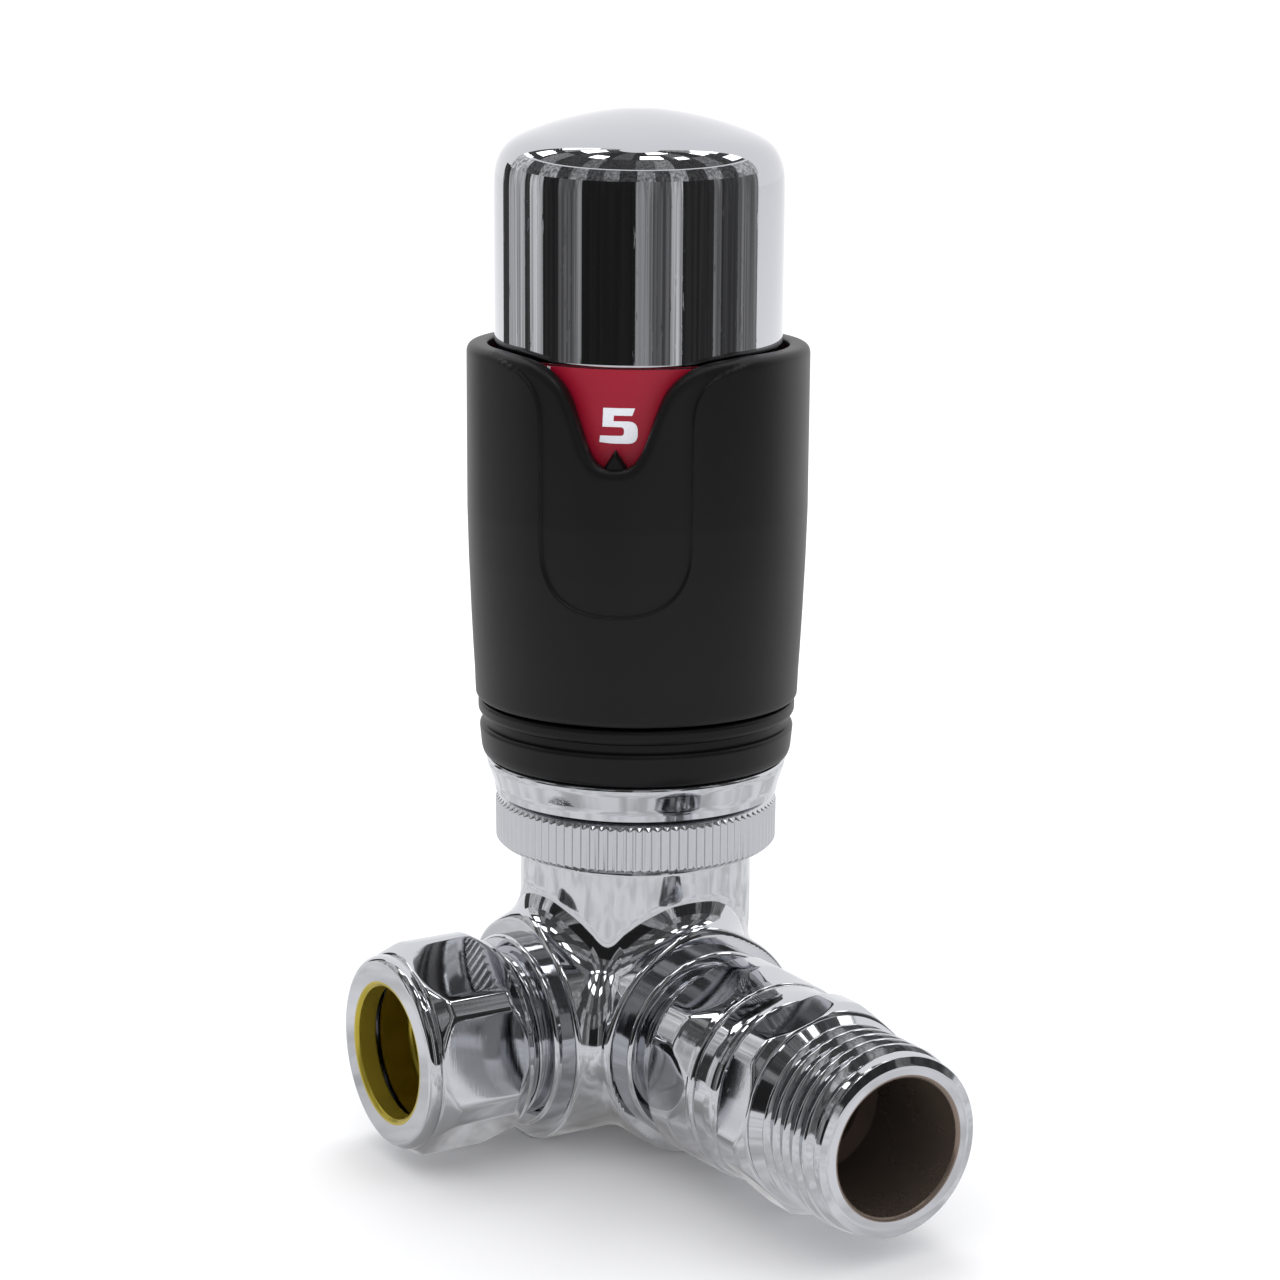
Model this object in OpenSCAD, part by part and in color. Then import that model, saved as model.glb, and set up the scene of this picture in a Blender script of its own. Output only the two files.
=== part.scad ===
// Thermostatic radiator valve, corner pattern, 15 mm pipe x G1/2 tail.
// Millimetres. +Z runs up the thermostatic head, +X out of the radiator tail,
// -Y out of the pipe socket. The origin is the middle of the tail's thread, on its axis.
// Every radius below is measured from its own branch axis, and every height or
// reach from the point where the three branch axes cross.

/* [Valve body] */
// Outside radius of the two branch barrels
barrel_r = 13.05; // [12:0.05:14]
// Reach of both barrels from the crossing point
barrel_reach = 15.5; // [14:0.1:17]
// Outside radius of the neck under the head nut
neck_r = 13.5; // [12.5:0.1:14.5]
// Height at which the head seats on the neck
neck_top = 28.0; // [26:0.1:30]
// Radius of the M30 x 1.5 head thread on the neck
neck_thread_r = 14.85; // [14.8:0.05:15]
// Radius of the seat opening (DN10)
seat_r = 5.2; // [4:0.1:6]
// Height of the seat face
seat_z = 5.2; // [4:0.1:7]

/* [Pipe socket] */
// Radius of the socket bore for 15 mm pipe
socket_r = 7.6; // [7.55:0.01:7.7]
// Reach of the compression nut's open face
inlet_reach = 33.0; // [31:0.1:35]
// Reach of the pipe stop inside the socket
pipe_stop = 18.5; // [17:0.1:20]
// Compression nut size across flats
comp_nut_af = 22.4; // [22:0.1:24]

/* [Radiator tail] */
// Reach of the tail's open end
tail_reach = 53.4; // [50:0.1:56]
// Reach of the middle of the tail's thread, where the origin is
thread_middle = 47.0; // [45:0.1:49]
// Crest radius of the G1/2 tail thread
tail_thread_r = 10.48; // [10.4:0.01:10.5]
// Radius of the tail's open bore
tail_bore_r = 7.57; // [7:0.01:8]
// Tail spanner flats, across flats
tail_af = 22.2; // [22:0.1:24]
// Union nut size across flats
union_nut_af = 23.0; // [22:0.1:25]

/* [Thermostatic head] */
// Outside radius of the handwheel at its rim
wheel_r = 19.55; // [18:0.05:21]
// Height of the handwheel rim
wheel_top = 79.3; // [77:0.1:81]
// Outside radius of the fixed cap
cap_r = 16.38; // [15.5:0.02:17]
// Height of the cap's crown
cap_top = 105.5; // [102:0.1:108]
// Direction the setting pointer faces, degrees from +X
pointer_dir = -39.3; // [-60:0.1:-20]
// Turn of the handwheel from fully open to frost setting, degrees
wheel_travel = 300; // [270:5:330]
// Fall of the sensor over that turn
sensor_fall = 4.6; // [4:0.1:5]
// Valve pin stroke
pin_stroke = 2.5; // [2:0.1:3]

/* [Hidden] */
$fn = 96;
e = 0.01;
inlet_thread_r = 10.0;
union_thread_r = 10.0;
tip_open = neck_top + 11.8 + pin_stroke;   // pin tip height, valve open
cage_r = 12.0;
cage_in = 10.6;
drive_in = 12.35;
drive_out = 14.3;
deck_z = 38.5;                             // underside of the handwheel
knurls = 96;

module placed() { translate([-thread_middle, 0, 0]) children(); }
module outlet() { placed() rotate([0, 90, 0]) children(); }
module inlet() { placed() rotate([90, 0, 0]) children(); }
module turn(pts) { rotate_extrude() polygon(pts); }
module ring(ri, ro, z0, z1) {
  turn([[ri, z0], [ro, z0], [ro, z1], [ri, z1]]);
}
module hex_bar(af, z0, z1, corner) {
  translate([0, 0, z0]) rotate(corner)
    linear_extrude(z1 - z0) circle(r = af / 2 / cos(30), $fn = 6);
}
// Hexagon with turned corners and chamfered ends; pts is the turned outline.
module turned_hex(af, z0, z1, corner, pts) {
  intersection() {
    hex_bar(af, z0 - 1, z1 + 1, corner);
    turn(pts);
  }
}
// Parallel thread drawn as its crest and root rings.
module thread_rings(crest, depth, pitch, z0, z1) {
  n = floor((z1 - z0) / pitch);
  for (i = [0 : n - 1])
    let (z = z0 + i * pitch)
      turn([[crest - depth - 1, z], [crest - depth, z], [crest, z + pitch * 0.42],
            [crest, z + pitch * 0.58], [crest - depth, z + pitch],
            [crest - depth - 1, z + pitch]]);
}
// Round-wire coil spring: leaning half turns joined by a bead at each end.
module coil(r, wire, z0, z1, turns) {
  bead = wire * 1.1;
  half = (z1 - z0 - 2 * bead) / (2 * turns);
  lean = asin(half / 2 / r);
  gap = 0.12 * wire / r * 57.3;
  for (i = [0 : 2 * turns - 1])
    translate([0, 0, z0 + bead + (i + 0.5) * half])
      rotate(i % 2 == 0 ? 0 : 180) rotate([0, lean, 0]) rotate(gap)
        rotate_extrude(angle = 180 - 2 * gap) translate([r, 0]) circle(r = wire, $fn = 24);
  for (i = [0 : 2 * turns])
    translate([(i % 2 == 0 ? 1 : -1) * r * cos(lean), 0, z0 + bead + i * half])
      sphere(r = bead, $fn = 24);
}

// ---------------------------------------------------------------- valve body
module valve_body() {
  color([0.80, 0.81, 0.83]) placed() difference() {
    union() {
      sphere(r = barrel_r - 0.05);
      turn([[0, -1], [barrel_r, -1], [barrel_r, 0], [neck_r, 13.5], [neck_r, 20.6],
            [neck_thread_r - 1, 21.0], [neck_thread_r - 1, neck_top - 0.4],
            [neck_thread_r - 1.4, neck_top], [0, neck_top]]);
      thread_rings(neck_thread_r, 1.0, 1.5, 21.2, neck_top - 0.5);
      rotate([0, 90, 0]) {
        turn([[0, 0], [barrel_r, 0], [barrel_r, barrel_reach - 0.4],
              [barrel_r - 0.4, barrel_reach], [11.4, barrel_reach],
              [11.4, 17.2], [11.0, 17.5], [9.0, 17.7], [9.0, 25.0], [0, 25.0]]);
        thread_rings(union_thread_r, 0.9, 1.5, 17.7, 25.0);
      }
      rotate([90, 0, 0]) {
        turn([[0, 0], [barrel_r, 0], [barrel_r, barrel_reach - 0.4],
              [barrel_r - 0.4, barrel_reach], [11.2, barrel_reach],
              [11.2, 16.9], [10.9, 17.2], [9.1, 17.4], [9.1, 27.0], [0, 27.0]]);
        thread_rings(inlet_thread_r, 0.9, 1.5, 17.6, 27.0);
      }
    }
    // lower chamber, seat and upper chamber
    turn([[0, -8.6], [7.4, -8.6], [7.4, 2.4], [seat_r, 3.0], [seat_r, seat_z - 0.6],
          [seat_r + 0.5, seat_z - 0.6], [seat_r + 0.5, seat_z], [7.0, seat_z - 0.7],
          [9.0, seat_z - 0.7], [9.0, 14.0], [10.0, 14.4], [10.0, neck_top + 1],
          [0, neck_top + 1]]);
    // pipe socket with its stop and the coned mouth for the olive
    rotate([90, 0, 0])
      turn([[0, 13], [6.3, 13], [6.3, pipe_stop], [socket_r, pipe_stop],
            [socket_r, 26.0], [8.7, 27.1], [0, 27.1]]);
    // inlet passage to the lower chamber
    translate([0, 0, -2.6]) rotate([90, 0, 0]) cylinder(r = 5.4, h = 15);
    // outlet passage down from the upper chamber
    for (s = [-2.6, 2.6])
      translate([8, s, 8]) rotate([0, 135, 0]) translate([0, 0, -3]) cylinder(r = 3.2, h = 13);
    rotate([0, 90, 0]) turn([[0, 9.0], [6.4, 9.0], [6.4, 26], [0, 26]]);
  }
}

// ------------------------------------------------------------- pipe joint
module compression_nut() {
  color([0.82, 0.83, 0.85]) inlet() difference() {
    union() {
      turned_hex(comp_nut_af, 20.6, 31.4, 38,
        [[0, 20.6], [11.3, 20.6], [12.35, 22.3], [12.35, 30.0], [11.3, 31.4], [0, 31.4]]);
      turn([[0, 19.6], [10.9, 19.6], [11.1, 19.9], [11.15, 20.8], [0, 20.8]]);
      turn([[0, 31.0], [11.25, 31.0], [11.2, 32.0], [11.0, 32.6], [10.7, 32.9],
            [10.3, inlet_reach], [0, inlet_reach]]);
    }
    turn([[0, 19], [10.5, 19], [10.1, 20.2], [10.1, 28.4], [9.2, 29.4],
          [socket_r, 30.6], [socket_r, inlet_reach - 0.4],
          [socket_r + 0.4, inlet_reach + 0.1], [0, inlet_reach + 0.1]]);
  }
}

module olive() {
  color([0.80, 0.62, 0.26]) inlet()
    turn([[socket_r, 26.5], [7.9, 26.5], [8.75, 27.7], [8.95, 28.1], [8.95, 28.5],
          [8.7, 29.0], [7.9, 29.9], [socket_r, 29.9]]);
}

// ------------------------------------------------------------- radiator union
module union_nut() {
  color([0.82, 0.83, 0.85]) outlet() difference() {
    union() {
      turned_hex(union_nut_af, 21.4, 29.4, -2,
        [[0, 21.4], [11.5, 21.4], [12.25, 22.4], [12.25, 26.4], [11.95, 27.4],
         [11.5, 29.4], [0, 29.4]]);
      turn([[0, 28.6], [11.55, 28.6], [11.35, 30.3], [11.15, 30.5], [11.2, 30.8],
            [11.05, 32.6], [10.85, 33.6], [10.5, 34.2], [10.1, 34.4], [0, 34.4]]);
    }
    turn([[0, 21], [10.5, 21], [10.1, 21.8], [10.1, 29.2], [8.8, 29.2],
          [8.8, 33.9], [9.2, 34.5], [0, 34.5]]);
  }
}

module tail_washer() {
  color([0.16, 0.17, 0.18]) outlet() ring(6.6, 9.5, 25.0, 26.2);
}

module radiator_tail() {
  color([0.83, 0.84, 0.86]) outlet() difference() {
    union() {
      turn([[0, 26.2], [9.6, 26.2], [9.8, 26.5], [9.8, 28.6], [9.6, 28.9], [8.5, 28.9],
            [8.5, 35.8], [0, 35.8]]);
      turned_hex(tail_af, 35.7, 41.6, 46,
        [[0, 35.7], [8.5, 35.7], [11.6, 36.0], [12.0, 36.4], [12.0, 39.9],
         [11.2, 41.0], [10.7, 41.6], [0, 41.6]]);
      turn([[0, 41], [11.2, 41], [9.35, 42.7], [9.35, 51.2], [9.0, 51.6],
            [9.0, tail_reach], [0, tail_reach]]);
      thread_rings(tail_thread_r, 1.13, 1.814, 42.5, 51.7);
    }
    turn([[0, 25], [6.6, 25], [6.6, 37], [tail_bore_r, 39], [tail_bore_r, tail_reach - 0.3],
          [tail_bore_r + 0.3, tail_reach + 0.1], [0, tail_reach + 0.1]]);
  }
}

// ------------------------------------------------------------- valve insert
module insert_housing() {
  color([0.78, 0.72, 0.56]) placed() difference() {
    union() {
      turn([[0, 12.6], [8.6, 12.6], [8.9, 12.9], [8.9, 13.2], [7.9, 13.2], [7.9, 14.6],
            [8.9, 14.6], [8.9, 15.0], [9.1, 15.2], [9.1, 27.4], [0, 27.4]]);
      thread_rings(9.93, 0.75, 1.0, 15.3, 26.3);
      turn([[0, 27.0], [9.1, 27.0], [9.1, 28.3], [0, 28.3]]);
      turned_hex(18, 28.1, 31.4, 0,
        [[0, 28.1], [9.6, 28.1], [10.2, 28.5], [10.2, 30.8], [9.6, 31.4], [0, 31.4]]);
      ring(0, 6.2, 31.3, 33.2);
    }
    cylinder(r = 1.6, h = 60, center = true);
    turn([[0, 15.6], [4.1, 15.6], [4.1, 29.6], [4.6, 29.7], [4.6, 34], [0, 34]]);
    turn([[0, 12], [2.2, 12], [2.2, 13.2], [1.6, 14], [0, 14]]);
  }
}

module insert_o_ring() {
  color([0.08, 0.08, 0.08]) placed()
    rotate_extrude() translate([8.46, 13.9]) scale([0.52, 0.65]) circle(r = 1, $fn = 32);
}

module gland_nut() {
  color([0.80, 0.68, 0.38]) placed() difference() {
    union() {
      ring(0, 4.5, 29.75, 33.3);
      turned_hex(9.8, 33.3, 36.2, 10,
        [[0, 33.3], [5.0, 33.3], [5.4, 33.7], [5.4, 35.8], [5.0, 36.2], [0, 36.2]]);
    }
    cylinder(r = 1.56, h = 90, center = true);
    ring(0, 2.7, 31.2, 33.2);
    ring(0, 2.1, 35.4, 37);
  }
}

module gland_o_ring() {
  color([0.08, 0.08, 0.08]) placed()
    rotate_extrude() translate([2.12, 32.2]) scale([0.56, 0.8]) circle(r = 1, $fn = 32);
}

module spindle() {
  color([0.72, 0.73, 0.75]) placed() {
    turn([[0, 9.3], [1.5, 9.3], [1.5, 27.3], [3.4, 27.3], [3.4, 28.4], [1.5, 28.4],
          [1.5, tip_open - 0.5], [1.1, tip_open], [0, tip_open]]);
  }
}

module return_spring() {
  color([0.66, 0.67, 0.69]) placed() coil(2.75, 0.36, 15.6, 27.3, 6);
}

module disc_holder() {
  color([0.78, 0.66, 0.36]) placed() difference() {
    turn([[0, 9.6], [6.6, 9.6], [6.6, 9.0], [7.1, 9.0], [7.3, 9.3], [7.3, 11.0],
          [3.2, 11.6], [2.0, 11.9], [2.0, 12.2], [0, 12.2]]);
    cylinder(r = 1.5, h = 60, center = true);
  }
}

module seat_washer() {
  color([0.07, 0.07, 0.07]) placed()
    ring(1.7, 6.5, seat_z + pin_stroke + 0.05, 9.55);
}

// ------------------------------------------------------------- head mounting
module head_nut() {
  color([0.82, 0.83, 0.85]) placed() difference() {
    union() {
      translate([0, 0, 21.3]) linear_extrude(4.9)
        polygon([for (i = [0 : 2 * knurls - 1])
          let (r = i % 2 == 0 ? 16.45 : 16.1) [r * cos(i * 180 / knurls), r * sin(i * 180 / knurls)]]);
      turn([[0, 20.9], [15.8, 20.9], [16.15, 21.35], [0, 21.35]]);
      turn([[0, 26.15], [16.15, 26.15], [15.75, 26.9], [15.65, 26.9], [15.65, 31.1], [0, 31.1]]);
    }
    turn([[0, 20], [15.4, 20], [14.95, 20.9], [14.95, 30.05], [13.15, 30.05],
          [13.15, 32], [0, 32]]);
  }
}

module retaining_ring() {
  color([0.60, 0.61, 0.63]) placed() rotate(140)
    rotate_extrude(angle = 336) polygon([[12.2, 28.75], [14.5, 28.75], [14.5, 29.75], [12.2, 29.75]]);
}

module head_collar() {
  color([0.83, 0.84, 0.86]) placed()
    turn([[16.0, 27.5], [16.25, 27.1], [16.45, 27.1], [16.6, 28.3], [17.4, 30.5],
          [17.45, 31.0], [17.3, 31.25], [16.8, 31.3], [16.8, 33.4], [16.0, 33.4]]);
}

module head_base() {
  color([0.07, 0.07, 0.08]) placed() difference() {
    turn([[10.95, neck_top], [12.8, neck_top], [12.8, 28.7], [12.15, 28.7], [12.15, 29.8],
          [12.8, 29.8], [12.8, 31.7], [17.3, 31.4], [17.8, 31.7], [18.0, 32.3],
          [18.25, 35.0], [18.1, 35.2], [17.6, 35.4], [17.6, 36.3], [18.2, 36.5],
          [18.4, 36.8], [18.4, 37.9], [18.2, 38.1], [15.2, 38.1], [15.2, 35.6],
          [13.6, 35.4], [13.6, 34.0], [10.95, 34.0]]);
    ring(15.98, 16.82, 31, 33.42);
  }
}

module guide_cage() {
  color([0.14, 0.14, 0.15]) placed() difference() {
    turn([[cage_in, 34.02], [13.55, 34.02], [13.55, 35.4], [cage_r, 35.6], [cage_r, 91.0],
          [cage_in, 91.0]]);
    for (a = [0, 180]) rotate(a + pointer_dir + 90)
      translate([8, -1.9, 70]) cube([8, 3.8, 16.5]);
  }
}

// ------------------------------------------------------------- sensing parts
module sensor_carrier() {
  color([0.80, 0.80, 0.78]) placed() {
    turn([[7.4, 55.0], [10.3, 55.0], [10.3, 86.6], [0, 86.6], [0, 84.8], [9.2, 84.8],
          [9.2, 56.4], [7.4, 56.4]]);
    for (a = [0, 180]) rotate(a + pointer_dir + 90) difference() {
      translate([9.8, -1.6, 82.3]) cube([4.2, 3.2, 1.0]);
      difference() {
        translate([9, -3, 81]) cube([6, 6, 4]);
        cylinder(r = 13.2, h = 200);
      }
    }
  }
}

module sensor_capsule() {
  color([0.76, 0.58, 0.34]) placed()
    turn([[0, 56.45], [8.0, 56.45], [8.9, 57.2], [8.9, 74.5], [8.2, 75.4],
          [3.0, 75.4], [3.0, 76.8], [0, 76.8]]);
}

module overtravel_spring() {
  color([0.66, 0.67, 0.69]) placed() coil(6.2, 0.6, 75.4, 84.8, 4);
}

module push_rod() {
  foot = tip_open + 0.05;
  color([0.86, 0.86, 0.84]) placed()
    turn([[0, foot], [3.6, foot], [4.0, foot + 0.4], [4.0, foot + 2.2],
          [2.8, foot + 3.2], [2.8, 56.43], [0, 56.43]]);
}

// ------------------------------------------------------------- handwheel
// Half outline of the reading window: degrees from the pointer and height.
window = [[0, 67.3], [5, 67.5], [8, 68.4], [10.5, 70.0], [12.8, 72.2], [15.5, 74.4],
  [18, 76.0], [22, 77.2], [26, 78.0], [31, 78.68], [40, 79.05], [52, wheel_top + 0.35]];
// Half outline of the recessed thumb panel around it.
panel = [[0, 50.9], [8, 51.1], [14, 51.7], [19, 52.7], [22.5, 54.0], [25, 55.8], [26, 57.6],
  [26, 73.2], [27.3, 75.0], [30.5, 76.6], [36, 77.8], [44, 78.38], [56, wheel_top + 0.6]];
module facing(half, r, r0, r1) {
  right = [for (p = half) [r * sin(p[0]), p[1]]];
  n = len(right);
  left = [for (i = [n - 1 : -1 : 1]) [-right[i][0], right[i][1]]];
  rotate(pointer_dir + 90) translate([0, -r0, 0]) rotate([90, 0, 0]) linear_extrude(r1 - r0)
    polygon(concat(right, [[right[n - 1][0], wheel_top + 3], [left[0][0], wheel_top + 3]], left));
}

module handwheel() {
  color([0.07, 0.07, 0.075]) placed() difference() {
    turn([[16.6, deck_z], [18.5, deck_z], [18.65, deck_z + 0.3], [18.75, 41.5], [18.95, 44.5],
          [19.15, 48.6], [19.4, 54.8], [wheel_r, 60.5], [wheel_r, 78.5], [wheel_r - 0.2, 79.0],
          [wheel_r - 0.8, wheel_top], [17.7, wheel_top], [17.3, 79.1], [17.2, 78.6],
          [17.2, 41.2], [16.6, 41.2]]);
    facing(window, 19.5, 3, 22);
    intersection() {
      facing(panel, 19.5, 4, 23);
      turn([[22, 48], [18.85, 48], [19.05, 54.8], [wheel_r - 0.4, 60.5],
            [wheel_r - 0.4, 82], [22, 82]]);
    }
  }
}

module setting_pointer() {
  color([0.07, 0.07, 0.075]) placed() rotate(pointer_dir + 90) {
    intersection() {
      ring(16.78, 17.18, 66.0, 70.0);
      translate([0, -15, 0]) rotate([90, 0, 0]) linear_extrude(6)
        polygon([[-1.3, 66.6], [1.3, 66.6], [1.3, 67.5], [0, 69.5], [-1.3, 67.5]]);
    }
    intersection() {
      ring(17.1, 18.5, 67.0, 70.0);
      translate([0, -15, 0]) rotate([90, 0, 0]) linear_extrude(6)
        polygon([[-1.0, 67.6], [1.0, 67.6], [0, 69.4]]);
    }
  }
}

module drive_ring() {
  steps = 12;
  color([0.16, 0.16, 0.17]) placed() difference() {
    turn([[drive_in, deck_z], [16.55, deck_z], [16.55, 41.22], [17.15, 41.25],
          [17.15, 42.4], [drive_out, 42.4], [drive_out, 87.2], [drive_in, 87.2]]);
    for (s = [0, 180]) for (i = [0 : steps - 1])
      rotate(s + pointer_dir + 90 - 9 + i * wheel_travel / steps)
        rotate_extrude(angle = wheel_travel / steps + (i == steps - 1 ? 18 : 1.5))
          translate([drive_in - 0.4, 81.72 - i * sensor_fall / steps])
            square([1.55 + (i % 2) * 0.04, 2.03]);
  }
}

// ------------------------------------------------------------- dial and cap
module dial_shell() {
  color([0.78, 0.78, 0.78]) placed() difference() {
    turn([[14.85, 45.0], [16.1, 45.0], [16.1, 63.5], [15.85, 63.5], [15.85, 78.1],
          [15.25, 78.3], [15.25, 89.5], [14.3, 91.2], [cage_r + 0.02, 92.6], [cage_in, 92.6],
          [cage_in, 91.02], [cage_r + 0.02, 91.02], [cage_r + 0.02, 88.0],
          [14.0, 88.0], [14.85, 87.2]]);
  }
}

module number_band() {
  color([0.56, 0.08, 0.16]) placed() ring(15.87, cap_r, 63.6, 78.1);
}

module chrome_cap() {
  dome = 30;
  color([0.84, 0.85, 0.87]) placed() rotate_extrude() difference() {
    intersection() {
      polygon([[0, 78.2], [cap_r - 0.2, 78.2], [cap_r, 78.4], [cap_r, 98.4], [16.25, 99.4],
        [15.85, 100.5], [15.2, 101.4], [14.4, 102.1], [13.2, 102.8], [11.3, 103.4],
        [9.4, 104.0], [7.2, 104.6], [4.8, 105.1], [2.4, 105.4], [0, cap_top]]);
      translate([0, 70]) square([20, 40]);
    }
    polygon([[0, 77], [15.32, 77], [15.32, 97.5], [14.8, 99.2], [13.6, 100.6], [11, 101.8],
      [6, 103.2], [0, 104.1]]);
  }
}

valve_body();
compression_nut();
olive();
union_nut();
tail_washer();
radiator_tail();
insert_housing();
insert_o_ring();
gland_nut();
gland_o_ring();
spindle();
return_spring();
disc_holder();
seat_washer();
head_nut();
retaining_ring();
head_collar();
head_base();
guide_cage();
sensor_carrier();
sensor_capsule();
overtravel_spring();
push_rod();
handwheel();
drive_ring();
setting_pointer();
dial_shell();
number_band();
chrome_cap();
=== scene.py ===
"""Thermostatic radiator valve: the looks of each piece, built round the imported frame.

Lengths are millimetres until a mesh is made. +Z runs up the head, +X out of the tail,
-Y out of the pipe socket. CROSS is the point where the three branch axes meet.
"""

import math

import bmesh
import bpy
import numpy as np
from mathutils import Matrix, Vector


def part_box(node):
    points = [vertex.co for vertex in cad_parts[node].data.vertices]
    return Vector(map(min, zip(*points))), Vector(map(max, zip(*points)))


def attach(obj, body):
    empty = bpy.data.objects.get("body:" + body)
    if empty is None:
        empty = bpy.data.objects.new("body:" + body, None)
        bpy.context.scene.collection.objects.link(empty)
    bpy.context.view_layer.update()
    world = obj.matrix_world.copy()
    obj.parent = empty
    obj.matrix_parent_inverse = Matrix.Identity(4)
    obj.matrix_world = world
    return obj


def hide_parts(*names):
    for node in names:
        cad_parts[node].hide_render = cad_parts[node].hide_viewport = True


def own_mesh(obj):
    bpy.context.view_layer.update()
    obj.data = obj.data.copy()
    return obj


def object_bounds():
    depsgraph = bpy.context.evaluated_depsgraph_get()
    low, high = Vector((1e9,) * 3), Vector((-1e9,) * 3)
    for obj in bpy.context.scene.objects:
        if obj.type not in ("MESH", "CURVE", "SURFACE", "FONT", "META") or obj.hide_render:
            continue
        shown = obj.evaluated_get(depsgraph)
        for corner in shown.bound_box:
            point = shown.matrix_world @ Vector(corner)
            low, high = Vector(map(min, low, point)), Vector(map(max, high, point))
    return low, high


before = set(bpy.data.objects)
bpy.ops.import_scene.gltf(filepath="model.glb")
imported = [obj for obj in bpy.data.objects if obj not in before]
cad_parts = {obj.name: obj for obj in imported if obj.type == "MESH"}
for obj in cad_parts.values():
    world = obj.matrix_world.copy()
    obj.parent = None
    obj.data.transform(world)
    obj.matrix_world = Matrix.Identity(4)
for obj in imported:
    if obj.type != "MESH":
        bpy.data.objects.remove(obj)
cad_box = [list(corner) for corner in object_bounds()]

MM = 0.001
SOCKET_AXIS_X = (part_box("compression_nut")[0].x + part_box("compression_nut")[1].x) / 2
CROSS = np.array([SOCKET_AXIS_X / MM, 0.0, 0.0])
POINTER = -39.3  # degrees from +X in which the pointer and the 5 face
FLOOR_Z = cad_box[0][2]


# ------------------------------------------------------------------ node helper
class Val:
    """A socket's value in a material, with arithmetic that adds Math nodes."""

    def __init__(self, paint, socket):
        self.paint, self.socket = paint, socket

    def _math(self, how, *others):
        return self.paint.add(
            "ShaderNodeMath", {"operation": how}, dict(enumerate((self, *others)))
        )

    def __add__(self, other):
        return self._math("ADD", other)

    def __mul__(self, other):
        return self._math("MULTIPLY", other)

    def __sub__(self, other):
        return self._math("SUBTRACT", other)

    def __rsub__(self, other):
        return self.paint.add(
            "ShaderNodeMath", {"operation": "SUBTRACT"}, {0: other, 1: self}
        )

    __radd__, __rmul__ = __add__, __mul__

    def clamp(self):
        return self.paint.add(
            "ShaderNodeMath", {"operation": "ADD", "use_clamp": True}, {0: self, 1: 0.0}
        )

    def step(self, low, high):
        """0 below low, 1 above high, smooth in between."""
        return self.paint.add(
            "ShaderNodeMapRange",
            {"interpolation_type": "SMOOTHSTEP"},
            {"Value": self, "From Min": low, "From Max": high},
        )

    def root(self):
        return self._math("SQRT")


class Paint:
    """One material. add() makes any node and gives its first output."""

    def __init__(self, name):
        self.material = bpy.data.materials.new(name)
        self.material.use_nodes = True
        self.tree = self.material.node_tree
        self.tree.nodes.clear()
        self.place = self.add("ShaderNodeTexCoord", out="Object")

    def add(self, kind, settings=None, sockets=None, out=0):
        node = self.tree.nodes.new(kind)
        for key, value in (settings or {}).items():
            setattr(node, key, value)
        for key, value in (sockets or {}).items():
            self.plug(node.inputs[key], value)
        return Val(self, node.outputs[out])

    def plug(self, socket, value):
        if isinstance(value, Val):
            self.tree.links.new(value.socket, socket)
        elif isinstance(value, tuple) and socket.type == "RGBA" and len(value) == 3:
            socket.default_value = (*value, 1)
        else:
            socket.default_value = value

    def scaled(self, x, y, z):
        return self.add(
            "ShaderNodeVectorMath", {"operation": "MULTIPLY"}, {0: self.place, 1: (x, y, z)}
        )

    def axis(self, letter):
        return self.add("ShaderNodeSeparateXYZ", sockets={0: self.place}, out=letter)

    def noise(self, scale, detail=2.0, rough=0.5, at=None, warp=0.0):
        return self.add(
            "ShaderNodeTexNoise",
            sockets={
                "Vector": at or self.place,
                "Scale": scale,
                "Detail": detail,
                "Roughness": rough,
                "Distortion": warp,
            },
        )

    def mix(self, amount, first, second):
        node = self.tree.nodes.new("ShaderNodeMix")
        node.data_type = "RGBA"
        self.plug(node.inputs["Factor"], amount)
        self.plug(node.inputs[6], first)
        self.plug(node.inputs[7], second)
        return Val(self, node.outputs[2])

    def bump(self, height, depth, under=None):
        sockets = {"Height": height, "Distance": depth, "Strength": 1.0}
        if under:
            sockets["Normal"] = under
        return self.add("ShaderNodeBump", sockets=sockets)

    def finish(self, **sockets):
        shader = self.tree.nodes.new("ShaderNodeBsdfPrincipled")
        for key, value in sockets.items():
            self.plug(shader.inputs[key.replace("_", " ")], value)
        end = self.tree.nodes.new("ShaderNodeOutputMaterial")
        self.tree.links.new(shader.outputs[0], end.inputs[0])
        return self.material


# ------------------------------------------------------------------ finishes
def axis_radius(paint, along):
    """Distance in metres from a branch axis: 'X' is the tail's, 'Y' the socket's, 'Z' the head's."""
    x = paint.axis("X") - float(CROSS[0] * MM)
    y, z = paint.axis("Y"), paint.axis("Z")
    pair = {"X": (y, z), "Y": (x, z), "Z": (x, y)}[along]
    return (pair[0] * pair[0] + pair[1] * pair[1]).root()


CHROME = (0.575, 0.585, 0.61)


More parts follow.
